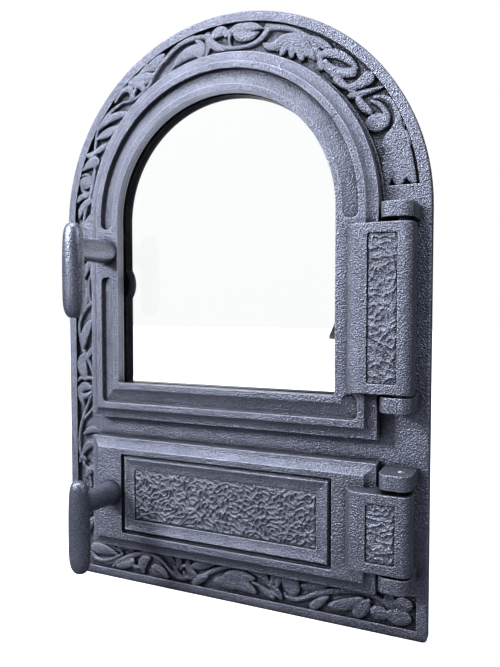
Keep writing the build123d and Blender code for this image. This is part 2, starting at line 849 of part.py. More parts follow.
with BuildPart() as ring:
    with BuildSketch(depth_plane(ring_back_depth)):
        add(upper_face(window_inset - ring_wall))
        add(ring_bore(), mode=Mode.SUBTRACT)
    extrude(amount=ring_depth)
    with BuildSketch(depth_plane(ear_back_depth)):
        for x, z, turn in ears:
            with Locations(Location((x, z, 0), (0, 0, turn))):
                Circle(ear_radius)
                Rectangle(ear_tab, 2 * ear_radius, align=(Align.MIN, Align.CENTER))
        for x, z, turn in ears:
            with Locations((x, z)):
                Circle(screw_diameter / 2 + screw_fit, mode=Mode.SUBTRACT)
    extrude(amount=ear_thickness)
    add(
        drill(
            clip_screw_spot, clip_screw_diameter + 2 * screw_fit,
            ring_back_depth, ring_back_depth + clip_screw_depth,
        ),
        mode=Mode.SUBTRACT,
    )
ring.part.label = "glass_ring"
export_step(ring.part, "parts/glass_ring.step")


def screw(spot, diameter, head_diameter, head_height, seat_depth, reach):
    """Cheese-head screw square to the door, its head behind the seat."""
    with BuildPart() as body:
        with BuildSketch(depth_plane(seat_depth)):
            with Locations(spot):
                Circle(diameter / 2)
        extrude(amount=reach)
        with BuildSketch(depth_plane(seat_depth)):
            with Locations(spot):
                Circle(head_diameter / 2)
        extrude(amount=-head_height)
    return body.part


with BuildPart() as ring_screws:
    for x, z, turn in ears:
        add(
            screw(
                (x, z), screw_diameter, screw_head_diameter, screw_head_height,
                ear_back_depth, ear_thickness + screw_depth - screw_end_gap,
            )
        )
ring_screws.part.label = "ring_screws"
export_step(ring_screws.part, "parts/ring_screws.step")

# Clip on the back of the ring, whose slanted tip shows in the window
with BuildPart() as clip:
    clip_left = window_half_width - clip_tip
    clip_right = window_half_width + ring_wall
    clip_foot = clip_height - clip_width / 2
    clip_head = clip_height + clip_width / 2
    with BuildSketch(depth_plane(ring_back_depth)):
        with BuildLine():
            Polyline(
                (clip_right, clip_foot), (clip_left, clip_foot),
                (clip_left, clip_foot + clip_point / 2), (clip_left + clip_point, clip_head),
                (clip_right, clip_head), close=True,
            )
        make_face()
        with Locations(clip_screw_spot):
            Circle(clip_screw_diameter / 2 + screw_fit, mode=Mode.SUBTRACT)
    extrude(amount=-clip_thickness)
clip.part.label = "glass_clip"
export_step(clip.part, "parts/glass_clip.step")

clip_screw = screw(
    clip_screw_spot, clip_screw_diameter, clip_screw_head, clip_screw_head_height,
    ring_back_depth - clip_thickness, clip_thickness + clip_screw_depth - screw_end_gap,
)
clip_screw.label = "clip_screw"
export_step(clip_screw, "parts/clip_screw.step")


def handle(spot, name):
    """Cast handle: arm and hanging grip, with its spindle through the door."""
    x, z = spot
    arm_length = grip_depth + plate_thickness - face_depth
    with BuildPart() as body:
        with BuildSketch(depth_plane(face_depth)):
            with Locations(spot):
                Circle(arm_root_radius)
        with BuildSketch(depth_plane(face_depth + arm_length)):
            with Locations(spot):
                Circle(arm_end_radius)
        loft()
        for height, half_width, half_thickness in grip_sections:
            with BuildSketch(Plane.XY.offset(z + height)):
                with Locations((x, -(face_depth + arm_length))):
                    Ellipse(half_width, half_thickness)
        loft()
        with BuildSketch(depth_plane(latch_front_depth)):
            with Locations(spot):
                Circle(spindle_diameter / 2)
        extrude(amount=face_depth - latch_front_depth)
        with BuildSketch(depth_plane(latch_back_depth)):
            with Locations(spot):
                Rectangle(spindle_square, spindle_square)
        extrude(amount=latch_thickness)
        with BuildSketch(depth_plane(nut_back_depth - nut_proud)):
            with Locations(spot):
                Circle(spindle_thread / 2)
        extrude(amount=nut_height + nut_proud)
    body.part.label = name
    export_step(body.part, f"parts/{name}.step")


def latch(spot, name):
    """Latch tongue that hangs from the spindle and turns behind the plate."""
    x, z = spot
    with BuildPart() as tongue:
        with BuildSketch(depth_plane(latch_back_depth)):
            with Locations(spot):
                Circle(latch_hub_radius)
            with Locations((x, z - (latch_reach - latch_width / 2) / 2)):
                Rectangle(latch_width, latch_reach - latch_width / 2)
            with Locations((x, z - latch_reach + latch_width / 2)):
                Circle(latch_width / 2)
            with Locations(spot):
                Rectangle(
                    spindle_square + 2 * square_fit, spindle_square + 2 * square_fit,
                    mode=Mode.SUBTRACT,
                )
        extrude(amount=latch_thickness)
    tongue.part.label = name
    export_step(tongue.part, f"parts/{name}.step")


def spindle_washer(spot, name):
    """Washer between a door's boss and its latch."""
    with BuildPart() as washer:
        with BuildSketch(depth_plane(latch_front_depth)):
            with Locations(spot):
                Circle(spindle_washer_diameter / 2)
                Circle(spindle_diameter / 2 + spindle_running, mode=Mode.SUBTRACT)
        extrude(amount=spindle_washer_thickness)
    washer.part.label = name
    export_step(washer.part, f"parts/{name}.step")


def spindle_nut(spot, name):
    """Hexagon nut on the end of a spindle."""
    with BuildPart() as nut:
        with BuildSketch(depth_plane(nut_back_depth)):
            with Locations(spot):
                RegularPolygon(nut_flats / 2, 6, major_radius=False)
                Circle(spindle_thread / 2 + thread_fit, mode=Mode.SUBTRACT)
        extrude(amount=nut_height)
    nut.part.label = name
    export_step(nut.part, f"parts/{name}.step")


for door_name, spot in (("upper", upper_spindle), ("lower", lower_spindle)):
    handle(spot, f"{door_name}_handle")
    latch(spot, f"{door_name}_latch")
    spindle_washer(spot, f"{door_name}_spindle_washer")
    spindle_nut(spot, f"{door_name}_spindle_nut")
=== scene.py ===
# %% [markdown]
# A cast-iron stove door, dressed for its portrait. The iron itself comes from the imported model,
# which Blender loads as a fixed frame. This file adds what a mould and a workshop leave on it:
# the carved vine, the hammered fields, the skin of the casting, the braided rope and the glass.

# %% Load the frame
import json
import math

import bpy
import numpy as np
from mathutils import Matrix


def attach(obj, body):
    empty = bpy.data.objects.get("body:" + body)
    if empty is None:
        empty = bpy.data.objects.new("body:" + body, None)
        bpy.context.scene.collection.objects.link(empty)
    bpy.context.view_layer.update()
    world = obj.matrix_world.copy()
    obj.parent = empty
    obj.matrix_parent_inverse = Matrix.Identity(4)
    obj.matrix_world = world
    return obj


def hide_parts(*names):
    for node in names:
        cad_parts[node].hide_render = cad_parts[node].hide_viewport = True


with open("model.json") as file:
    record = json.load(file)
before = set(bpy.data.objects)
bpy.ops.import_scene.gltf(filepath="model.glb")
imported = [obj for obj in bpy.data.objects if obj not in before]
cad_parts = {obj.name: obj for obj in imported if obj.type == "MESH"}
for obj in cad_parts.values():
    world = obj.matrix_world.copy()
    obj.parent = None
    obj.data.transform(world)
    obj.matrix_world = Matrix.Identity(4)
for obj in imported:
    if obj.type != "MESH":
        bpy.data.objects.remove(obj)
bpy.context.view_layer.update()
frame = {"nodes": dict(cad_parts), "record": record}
MM = 0.001

# %% [markdown]
# The camera stands a little to the right of the door and slightly above its middle, close
# enough for strong perspective. A 500 x 667 picture is taller than wide, so the lens is set
# for the long side.

# %% Camera
CAMERA_PLACE = (0.2379, -0.4830, 0.2512)
CAMERA_AZIMUTH = 24.490
CAMERA_DIP = 2.556
CAMERA_LENS = 34.56

camera_data = bpy.data.cameras.new("camera")
camera_data.lens = CAMERA_LENS
camera_data.sensor_width = 36.0
camera_data.sensor_fit = "AUTO"
camera_data.clip_start = 0.01
camera = bpy.data.objects.new("camera", camera_data)
camera.location = CAMERA_PLACE
camera.rotation_euler = (math.radians(90.0 - CAMERA_DIP), 0.0, math.radians(CAMERA_AZIMUTH))
bpy.context.scene.collection.objects.link(camera)
bpy.context.scene.camera = camera
bpy.context.scene.view_settings.view_transform = "Standard"
print("Camera at", CAMERA_PLACE, "with a lens of", CAMERA_LENS, "mm")

# %% [markdown]
# Node materials are easier to read when each node is one short line. This helper adds a node,
# sets its inputs by name and returns it, and a second one joins two sockets.


# %% Helpers for materials
def new_material(name):
    """Empty node material with one Principled shader that reaches the output."""
    made = bpy.data.materials.new(name)
    made.use_nodes = True
    tree = made.node_tree
    tree.nodes.clear()
    shader = tree.nodes.new("ShaderNodeBsdfPrincipled")
    output = tree.nodes.new("ShaderNodeOutputMaterial")
    tree.links.new(shader.outputs["BSDF"], output.inputs["Surface"])
    return made, tree, shader


def add_node(tree, kind, settings=None, **inputs):
    """A node of a kind; settings are its own properties, inputs its sockets by name."""
    node = tree.nodes.new("ShaderNode" + kind)
    for key, value in (settings or {}).items():
        setattr(node, key, value)
    for key, value in inputs.items():
        socket = node.inputs[key.replace("_", " ")]
        if isinstance(value, bpy.types.NodeSocket):
            tree.links.new(value, socket)
        else:
            socket.default_value = value
    return node


def scaled(tree, value, low, high, to_low, to_high):
    """Map Range: the value between low and high becomes one between to_low and to_high."""
    node = add_node(tree, "MapRange", {"clamp": True})
    tree.links.new(value, node.inputs["Value"])
    for key, number in (
        ("From Min", low), ("From Max", high), ("To Min", to_low), ("To Max", to_high),
    ):
        node.inputs[key].default_value = number
    return node.outputs["Result"]


def mix_colour(tree, share, first, second):
    """Colour between first and second by share; each is a colour or a socket."""
    node = add_node(tree, "Mix", {"data_type": "RGBA", "clamp_factor": True})
    for socket, value in ((node.inputs[0], share), (node.inputs[6], first), (node.inputs[7], second)):
        if isinstance(value, bpy.types.NodeSocket):
            tree.links.new(value, socket)
        else:
            socket.default_value = value
    return node.outputs[2]


print("Material helpers are ready")

# %% [markdown]
# Stove iron is brushed with graphite polish. It looks dark with a violet cast, and the sand of
# the mould leaves a fine pimpled skin. Edges and high spots are painted paler, partly as polish
# rubbed thin and partly as a painted highlight, and the hollows are painted near black as painted
# shade. The grain is a pattern of small cells and a finer noise, each in a bump of its own. The
# edges come from the Bevel node, which rounds the normal near an edge: where that rounded normal
# leaves the true one, there is an edge. The painted shade in the hollows comes from Ambient Occlusion.


# %% Cast iron
# IRON_DARK is both the dark sand specks and the painted shade in the hollows.
IRON_DARK = (0.014, 0.014, 0.018, 1.0)
IRON_BODY = (0.150, 0.156, 0.190, 1.0)
IRON_WORN = (0.460, 0.470, 0.540, 1.0)
# IRON_EDGE is the paler edge colour: partly polish rubbed thin, partly a painted highlight.
IRON_EDGE = (0.620, 0.630, 0.700, 1.0)
IRON_METALLIC = 0.75
CLOUD_SCALE, SAND_SCALE, PIMPLE_SCALE = 38.0, 1100.0, 850.0
SAND_HEIGHT, PIMPLE_HEIGHT = 0.0003, 0.0005
CLOUD_SHARE, BRIGHT_SHARE, DARK_SHARE = 0.18, 0.28, 0.45
EDGE_SHARE, HOLLOW_SHADE_SHARE = 0.60, 0.95
HOLLOW_SHADE_REACH = 0.007


def iron(name, grain=1.1, edge_radius=0.0013, roughness=0.34):
    """Graphite-polished cast iron; grain is the strength of the sand skin.

    Five colours are laid over each other, each by its share: body, clouds, bright and dark
    grains of sand, edges both worn and painted with highlight, painted shade in the hollows.
    """
    made, tree, shader = new_material(name)
    place = add_node(tree, "TexCoord").outputs["Object"]
    cloud = add_node(tree, "TexNoise", Vector=place, Scale=CLOUD_SCALE, Detail=4.0).outputs["Fac"]
    sand = add_node(tree, "TexNoise", Vector=place, Scale=SAND_SCALE, Detail=3.0).outputs["Fac"]
    pimples = add_node(tree, "TexVoronoi", Vector=place, Scale=PIMPLE_SCALE).outputs["Distance"]

    rounded = add_node(tree, "Bevel", {"samples": 4}, Radius=edge_radius).outputs["Normal"]
    true_normal = add_node(tree, "NewGeometry").outputs["Normal"]
    likeness = add_node(tree, "VectorMath", {"operation": "DOT_PRODUCT"})
    tree.links.new(rounded, likeness.inputs[0])
    tree.links.new(true_normal, likeness.inputs[1])
    edge = scaled(tree, likeness.outputs["Value"], 0.999, 0.92, 0.0, 1.0)

    # Painted shade: Ambient Occlusion darkens the hollows and crevices towards near black.
    open_air = add_node(tree, "AmbientOcclusion", {"samples": 6}, Distance=HOLLOW_SHADE_REACH)
    painted_hollow_shade = scaled(tree, open_air.outputs["AO"], 0.45, 0.94, 1.0, 0.0)

    body = mix_colour(tree, scaled(tree, cloud, 0.35, 0.70, 0.0, CLOUD_SHARE), IRON_BODY, IRON_WORN)
    bright = mix_colour(tree, scaled(tree, sand, 0.50, 0.68, 0.0, BRIGHT_SHARE), body, IRON_WORN)
    speck = mix_colour(tree, scaled(tree, sand, 0.50, 0.32, 0.0, DARK_SHARE), bright, IRON_DARK)
    # Painted highlight with real wear: the edges found by the Bevel node are painted paler.
    worn_and_highlit = mix_colour(tree, scaled(tree, edge, 0.0, 1.0, 0.0, EDGE_SHARE), speck, IRON_EDGE)
    shaded = mix_colour(tree, scaled(tree, painted_hollow_shade, 0.0, 1.0, 0.0, HOLLOW_SHADE_SHARE), worn_and_highlit, IRON_DARK)
    tree.links.new(shaded, shader.inputs["Base Color"])
    sanded = scaled(tree, sand, 0.3, 0.7, roughness - 0.05, roughness + 0.12)
    tree.links.new(sanded, shader.inputs["Roughness"])

    coarse = add_node(
        tree, "Bump", Strength=grain, Distance=PIMPLE_HEIGHT, Height=pimples, Normal=rounded,
    ).outputs["Normal"]
    fine = add_node(
        tree, "Bump", Strength=grain, Distance=SAND_HEIGHT, Height=sand, Normal=coarse,
    ).outputs["Normal"]
    tree.links.new(fine, shader.inputs["Normal"])
    shader.inputs["Metallic"].default_value = IRON_METALLIC
    shader.inputs["Specular IOR Level"].default_value = 0.5
    return made


plate_iron = iron("plate_iron")
grip_iron = iron("grip_iron", grain=0.35, edge_radius=0.0008, roughness=0.27)
print("Made", plate_iron.name, "and", grip_iron.name)

# %% [markdown]
# The pins, washers and screws are plain mild steel that has seen some heat: duller than
# chrome, cloudy, with a fine grain. The ring behind the glass and its clip are sooted almost
# black.


# %% Steel
PIN_BRIGHT, PIN_DULL = (0.24, 0.23, 0.24, 1.0), (0.13, 0.12, 0.13, 1.0)
SOOT_BRIGHT, SOOT_DULL = (0.020, 0.020, 0.022, 1.0), (0.008, 0.008, 0.009, 1.0)


def steel(name, bright, dull, roughness):
    """Bare steel, cloudy between a bright and a dull colour, with a fine bump."""
    made, tree, shader = new_material(name)
    place = add_node(tree, "TexCoord").outputs["Object"]
    cloud = add_node(tree, "TexNoise", Vector=place, Scale=90.0, Detail=5.0).outputs["Fac"]
    grain = add_node(tree, "TexNoise", Vector=place, Scale=1400.0, Detail=2.0).outputs["Fac"]
    colour = mix_colour(tree, scaled(tree, cloud, 0.35, 0.65, 0.0, 1.0), bright, dull)
    tree.links.new(colour, shader.inputs["Base Color"])
    bump = add_node(tree, "Bump", Strength=0.15, Distance=0.0001, Height=grain)
    tree.links.new(bump.outputs["Normal"], shader.inputs["Normal"])
    shader.inputs["Metallic"].default_value = 0.9
    shader.inputs["Roughness"].default_value = roughness
    return made


pin_steel = steel("pin_steel", PIN_BRIGHT, PIN_DULL, 0.38)
ring_steel = steel("ring_steel", SOOT_BRIGHT, SOOT_DULL, 0.55)
print("Made", pin_steel.name, "and", ring_steel.name)

# %% [markdown]
# The pane is clear and clean. A real transmission shader lets the white behind it through and
# keeps a faint green at its edges.

# %% Glass
pane_glass, _, glass_shader = new_material("pane_glass")
glass_shader.inputs["Base Color"].default_value = (0.985, 0.995, 0.99, 1.0)
glass_shader.inputs["Transmission Weight"].default_value = 1.0
glass_shader.inputs["Roughness"].default_value = 0.0
glass_shader.inputs["IOR"].default_value = 1.45
glass_shader.inputs["Specular IOR Level"].default_value = 0.2
print("Made", pane_glass.name)

# %% [markdown]
# Braided glass-fibre rope is black with soot in its hollows and rubbed pale on its crests. The
# braid carries how near each point is to a crest as an attribute of its own.

# %% Rope
FIBRE_PALE = (0.75, 0.74, 0.72, 1.0)
FIBRE_DULL = (0.060, 0.058, 0.055, 1.0)
FIBRE_SOOT = (0.015, 0.015, 0.015, 1.0)

rope_fibre, rope_tree, rope_shader = new_material("rope_fibre")
rope_place = add_node(rope_tree, "TexCoord").outputs["Object"]
rope_noise = add_node(rope_tree, "TexNoise", Vector=rope_place, Scale=900.0, Detail=3.0).outputs["Fac"]
rope_crest = add_node(rope_tree, "Attribute", {"attribute_name": "crest"}).outputs["Fac"]
rope_dull = mix_colour(
    rope_tree, scaled(rope_tree, rope_noise, 0.35, 0.65, 0.0, 1.0), FIBRE_DULL, FIBRE_SOOT,
)
rope_tint = mix_colour(
    rope_tree, scaled(rope_tree, rope_crest, 0.80, 0.97, 0.0, 1.0), rope_dull, FIBRE_PALE,
)
rope_tree.links.new(rope_tint, rope_shader.inputs["Base Color"])
rope_bump = add_node(rope_tree, "Bump", Strength=0.4, Distance=0.0002, Height=rope_noise)
rope_tree.links.new(rope_bump.outputs["Normal"], rope_shader.inputs["Normal"])
rope_shader.inputs["Roughness"].default_value = 0.9
print("Made", rope_fibre.name)

# %% [markdown]
# The CAD nodes stay where they are. Only the material in their slot changes.

# %% Materials on the CAD nodes
FINISHES = {
    "cast_iron": plate_iron,
    "steel": pin_steel,
    "rope": rope_fibre,
    "glass": pane_glass,
}
SPECIAL = {
    "upper_handle": grip_iron,
    "lower_handle": grip_iron,
    "glass_ring": ring_steel,
    "glass_clip": ring_steel,
}
slots = {part["node"]: part["material_slot"] for part in frame["record"]["subparts"]}
for node, node_object in frame["nodes"].items():
    finish = SPECIAL.get(node, FINISHES[slots[node]])
    node_object.data.materials.clear()
    node_object.data.materials.append(finish)
print("Finished", len(frame["nodes"]), "CAD nodes")

# %% [markdown]
# The carving and the braided rope are grids of points. Each grid has rows and columns, and
# neighbouring points make its faces. Depth counts forward from the back of the plate, so a
# depth of 7 mm is the front of the plate, and it runs against the Y axis.


# %% Helpers for surfaces
def placed(x, depth, z):
    """Points of a grid from X, depth and height: the depth becomes minus Y."""
    return np.stack([x, -depth, z], axis=-1)


def surface(name, points, finish, body, closed=False):
    """Piece with a quad between neighbouring points of a grid; closed joins both its ends."""
    rows, columns = points.shape[:2]
    index = np.arange(rows * columns).reshape(rows, columns)
    if closed:
        index = np.pad(index, ((0, 1), (0, 1)), mode="wrap")
    quads = np.stack(
        [index[:-1, :-1], index[1:, :-1], index[1:, 1:], index[:-1, 1:]], axis=-1
    ).reshape(-1, 4)
    mesh = bpy.data.meshes.new(name)
    mesh.from_pydata((points * MM).reshape(-1, 3).tolist(), [], quads.tolist())
    mesh.polygons.foreach_set("use_smooth", np.ones(len(quads), dtype=bool))
    mesh.materials.append(finish)
    piece = bpy.data.objects.new(name, mesh)
    bpy.context.scene.collection.objects.link(piece)
    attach(piece, body)
    print(name, "has", 2 * len(quads), "triangles")
    return piece


def buried(depth, sides, under):
    """Depths of a grid with the named sides pulled down under the iron, so no edge floats."""
    for side in sides:
        depth[side] = under
    return depth


ROW_FIRST, ROW_LAST = np.s_[0, :], np.s_[-1, :]
COLUMN_FIRST, COLUMN_LAST = np.s_[:, 0], np.s_[:, -1]

# %% [markdown]
# The vine fills the band between the rim and the doors. It is drawn in strokes: where each one
# starts, where its middle lies and where it ends, in millimetres across and up, and how wide it
# is at the three places. Stems are drawn first and leaves after them.

# %% Strokes of the vine
STEMS = (
    ((-103, 430), (-87, 433), (-74, 443), (2, 3, 3)),
    ((-74, 443), (-67.5, 453), (-59, 461), (3, 3.5, 4)),
    ((-59, 460), (-46, 470), (-31, 474), (4, 4, 5)),
    ((-34.5, 473.8), (-23, 473.5), (-13, 471.5), (3, 4, 4)),
    ((-18, 473), (-17, 465), (-19.5, 457.5), (7, 4.5, 2)),
    ((-15, 470), (-2, 461.5), (15, 459.5), (3, 3.5, 2.6)),
    ((15, 459.5), (28, 462), (37, 471), (2.6, 4.2, 5)),
    ((6, 473.5), (2, 468), (3, 461.5), (3, 2.6, 2)),
    ((36, 471), (53, 467.2), (67, 460), (6, 4, 4)),
    ((67, 460), (75.5, 450), (80.5, 433), (4, 4.5, 5)),
    ((84, 434), (93, 423.5), (106, 411), (5, 4.6, 4)),
    ((103, 408), (114, 409.5), (129, 412), (4, 4.6, 1)),
    ((131, 384), (130, 394), (120, 402.5), (4, 4, 2)),
    ((122, 405), (137, 398), (140, 377), (3, 5, 6)),
    ((139, 371), (139.2, 366), (139.5, 362), (3, 2.6, 3)),
    ((-131, 408), (-120, 420.5), (-103, 430), (3, 3.6, 2)),
    ((-130.5, 410), (-133.5, 394), (-133.5, 377), (3, 3, 3)),
    ((-133.5, 380), (-137, 362), (-140, 348), (2.2, 4, 4)),
    ((-149, 369.5), (-140.5, 369), (-137, 360), (2, 2.6, 3)),
    ((-150, 358), (-145, 353.5), (-139, 353), (2, 3.4, 3)),
    ((-139, 253), (-148, 246), (-153.5, 236), (3, 4, 3)),
    ((-153.5, 236), (-153.8, 224), (-149, 208), (3, 3.2, 4)),
    ((-149, 209), (-143.5, 198), (-139, 188), (3, 3, 2.5)),
    ((-139, 184), (-140.5, 171), (-146, 157), (2.5, 3, 3.2)),
    ((-146, 157), (-151.5, 144), (-155, 130), (3.2, 3.6, 3.4)),
    ((-133, 161), (-141, 153.5), (-149, 145), (2.6, 3, 2)),
    ((-155, 130), (-155, 115), (-149, 100), (3.4, 3.4, 3)),
    ((-149, 100), (-143.5, 86), (-144.5, 70), (3, 3.4, 3)),
    ((-144.5, 70), (-149, 55), (-154, 42), (3, 3.4, 3)),
    ((-139, 280), (-143, 268), (-141, 253), (3, 3, 3)),
    ((-139.6, 351), (-146, 335), (-148, 318), (2.6, 3.4, 3)),
    ((-148, 318), (-144, 300), (-139, 280), (3, 3.4, 3)),
    ((-144, 19.5), (-131, 13.2), (-108, 23), (2.6, 4, 2.4)),
    ((-154, 42), (-152, 28), (-143, 18), (3, 3.4, 3)),
    ((-124, 31), (-116, 27.5), (-109, 25.5), (2, 3, 2)),
    ((-118, 10.5), (-103, 20.5), (-84, 28), (2, 4.6, 3.6)),
    ((-84, 28), (-71, 26), (-61, 20), (3.6, 3.4, 2)),
    ((-61, 20), (-52, 13), (-42, 12), (2, 4.5, 4)),
    ((-43, 17.5), (-37, 13.6), (-20, 20), (2.6, 3.6, 3.6)),
    ((-20, 20), (-9, 26), (3, 30.5), (3.6, 4, 3)),
    ((20, 30), (32, 25.5), (43, 17), (2.4, 3.2, 3)),
    ((23, 20.5), (34, 17), (48, 12.5), (2, 3, 3)),
    ((52, 16.5), (57.5, 13), (71, 16.8), (2.6, 4, 3.6)),
    ((71, 16.8), (89, 25), (113.6, 29.2), (3.6, 4.6, 2.6)),
    ((109, 29.2), (126, 28), (136, 21.5), (2.4, 4, 2)),
)
LEAVES = (
    ((-134, 389), (-139, 387), (-144, 388), (4, 5.5, 2)),
    ((-134, 381), (-140, 379), (-148, 374), (9, 7.5, 1)),
    ((-149.5, 362.5), (-144.5, 362.8), (-139.5, 362.5), (4, 11, 4)),
    ((-153.5, 346), (-150, 350), (-144, 350.5), (2, 5, 3.6)),
    ((-137, 345), (-146, 343), (-152, 331), (3, 6, 1.5)),
    ((-135, 334), (-142, 322), (-139, 309), (4, 10, 3)),
    ((-132, 389), (-126, 392.5), (-118, 395), (3, 5.5, 3)),
    ((-130, 401), (-120, 405), (-108, 408.5), (2, 7.5, 4)),
    ((-130, 409), (-118, 416.8), (-100, 420), (3, 6.5, 4)),
    ((-111, 431), (-106, 437.5), (-101, 440.5), (1.5, 4, 4.5)),
    ((-102.5, 441), (-95.5, 440), (-92, 432.5), (3.6, 5.5, 4)),
    ((-88, 442.5), (-90.5, 437.5), (-94.5, 432.5), (1.5, 3, 3)),
    ((-95.5, 446), (-85, 446.5), (-71, 449.5), (4, 11, 3)),
    ((-84, 449), (-80, 453.5), (-77, 459.5), (8, 6.5, 1.5)),
    ((-86, 446), (-82.5, 441), (-82, 437), (9, 6.5, 1)),
    ((-75.5, 454.5), (-69.5, 458.5), (-60.5, 464.5), (3, 9, 3)),
    ((-51.5, 451.5), (-39.5, 460.8), (-25.5, 463), (1, 8.6, 10)),
    ((-24.5, 459), (-23.8, 466), (-29, 471), (7, 6.5, 1)),
    ((-15.5, 469), (-11, 463), (-3, 459.3), (4, 5, 1.5)),
    ((-14, 470.5), (-7, 474.8), (-1, 473.5), (3, 8, 5)),
    ((-1, 470.5), (1.5, 472.5), (4.5, 475.5), (3, 3.2, 1)),
    ((5, 472.8), (15, 474.5), (32, 470.8), (5, 7.4, 1)),
    ((7.5, 469.5), (16, 467), (28.5, 468.3), (3, 7.2, 1)),
    ((32.5, 459), (40, 455.3), (53, 459), (1, 6.5, 7)),
    ((46, 457), (58.5, 455.5), (70, 446), (8, 13, 7)),
    ((51, 453), (49, 450.2), (47.5, 447.5), (6, 5, 2.5)),
    ((57, 452), (56.5, 448), (56.5, 445), (6, 5.5, 3)),
    ((63, 450), (64, 445.5), (65, 441.5), (6, 6, 3)),
    ((65, 451), (71, 446), (75.2, 439.5), (7, 7, 1)),
    ((72, 457.5), (80, 451.5), (88, 446.5), (2, 6.5, 2)),
    ((82, 443), (96, 439.5), (108.5, 428), (5, 6.6, 2)),
    ((84, 436.5), (92, 428.8), (105, 425.5), (4, 6, 7)),
    ((92, 421), (103.5, 415), (117, 419.8), (4, 4.5, 10)),
    ((110, 404.5), (113.5, 399), (119, 394.5), (5, 6.5, 4)),
    ((117.5, 386), (124, 386.2), (130.5, 386), (4, 13, 4)),
    ((139.6, 386), (139, 379), (139, 370), (5, 9, 21)),
    ((134.5, 363), (132, 351), (131.8, 339.5), (7, 9, 3)),
    ((140.5, 360.5), (140.7, 350), (140.5, 340.5), (9, 12, 5)),
    ((146, 363), (147.5, 351), (152.5, 339.5), (7, 9, 2.5)),
    ((-146, 303), (-150, 297), (-151, 287), (2, 6, 2)),
    ((-138, 292), (-145, 284), (-147, 276), (3, 6, 2)),
    ((-145, 266), (-144.8, 258), (-148, 249), (1.5, 4.5, 3)),
    ((-138.5, 237), (-146.5, 226), (-149, 212), (2, 8.5, 3)),
    ((-138, 211.5), (-142, 207), (-145.5, 201), (3, 5, 2)),
    ((-149, 205), (-151.5, 195), (-147, 184), (2, 10.5, 4)),
    ((-155.5, 180.5), (-152, 183), (-147.5, 181.5), (2, 3.2, 2)),
    ((-148, 181.5), (-143, 183.3), (-137, 182), (2, 3.2, 2)),
    ((-154.5, 169), (-149, 175), (-140, 173.4), (3, 8, 1.6)),
    ((-154, 173), (-153.2, 166), (-149.5, 158), (5, 6, 2)),
    ((-152, 167), (-147, 166.5), (-142, 170), (4, 5, 2)),
    ((-149.5, 130.5), (-142, 135), (-133, 134.5), (2.5, 5.5, 4)),
    ((-151, 111.5), (-145.5, 120), (-137, 121), (2, 6.6, 4)),
    ((-155, 104), (-152.5, 108), (-148, 106), (2, 4, 2)),
    ((-148, 89), (-143.5, 97), (-136, 99), (2, 6.6, 3)),
    ((-150, 80), (-152.5, 70), (-150, 60), (2, 6.6, 2)),
    ((-138, 74), (-140, 64), (-147, 55), (3, 6.6, 2)),
    ((-138, 52), (-144, 46), (-148, 36), (3, 6.6, 3)),
    ((-140.5, 23.5), (-131, 24.2), (-114, 22.3), (7, 9.5, 1.5)),
    ((-113, 11), (-103, 14.5), (-96, 18.5), (3, 7, 4)),
    ((-112, 28.5), (-105, 29.5), (-96, 28.5), (2, 3.4, 2)),
    ((-97, 18.5), (-95, 14), (-90.5, 14), (1.5, 3.2, 2.6)),
    ((-78, 23.8), (-85.5, 19), (-84.5, 10), (2, 9, 1.2)),
    ((-75, 16), (-69, 16), (-60, 10.5), (2, 7, 3)),
    ((-61, 29.5), (-56, 27.5), (-52, 24), (3, 4.4, 1)),
    ((-49, 30.5), (-48, 25.5), (-50, 20), (6, 5.5, 2)),
    ((-52.5, 21.5), (-50, 16.5), (-46, 14), (1.5, 3.6, 2)),
    ((-46, 19.5), (-43.5, 23), (-40, 24), (2, 2.8, 1.5)),
    ((-38, 28), (-38, 22), (-33, 16.5), (3, 6.4, 7)),
    ((-34.5, 24), (-26, 26.8), (-13, 30.5), (2, 7.4, 2)),
    ((-33, 10), (-27, 14), (-20, 18), (4, 6.4, 3)),
    ((-12.5, 15.5), (-4, 16.5), (4, 15), (1, 9, 8)),
    ((-2, 20), (9, 23), (24, 24), (6, 11, 2.5)),
    ((4, 15.5), (14, 16.5), (25, 13), (6, 10, 3.5)),
    ((31, 16.5), (36, 14.2), (42, 11), (2, 5, 2)),
    ((30, 30.5), (34, 27), (37.5, 21), (4, 5.4, 1.5)),
    ((42, 31), (41.5, 26), (39, 20), (4.5, 4.8, 1.5)),
    ((47, 29), (46, 24.5), (43.5, 19), (3, 4, 2)),
    ((41.5, 20.5), (46.5, 17), (49, 12), (2, 3.6, 1.5)),
    ((53, 28), (57.5, 24), (58, 17), (7, 14, 3)),
    ((67, 25.5), (76, 26.8), (88, 30), (2.5, 6.6, 1.5)),
    ((76, 10.5), (81, 15), (88.5, 20.5), (6, 6.6, 1.5)),
    ((89, 14.5), (101, 17), (116.2, 25), (1.5, 9, 2)),
    ((111, 11.5), (115, 16), (121, 24), (4, 10, 3)),
    ((124, 16), (129, 16.2), (134, 16), (3, 10.4, 3)),
    ((135.5, 15.5), (143, 15.8), (151, 15.5), (3, 12, 5)),
    ((142, 26), (147, 26.2), (152, 26), (4, 10, 4)),
    ((136.5, 31), (136.7, 27), (139.5, 22), (5, 7.4, 2)),
)
print(len(STEMS), "stems and", len(LEAVES), "leaves")

# %% [markdown]
# A stroke's middle line is the parabola through its three places, and its width changes the
# same way. A point's distance from that line, over the half width there, is 0 on the line and
# 1 at the edge. The height rises steeply over a narrow flank just outside the edge and is
# crowned inside it. Where strokes cross, the higher one shows.

# %% Carve the vine
RELIEF_FLOOR = 3.5
GROUND_LIFT = 0.06
STEM_RISE, STEM_CROWN = 2.4, 0.7
LEAF_RISE, LEAF_CROWN = 3.0, 0.5
COVER = 0.15
FLANK = 0.45
FLANK_POWER, CROWN_POWER = 0.6, 3
STROKE_SAMPLES = 61
LEAST_HALF_WIDTH = 0.5


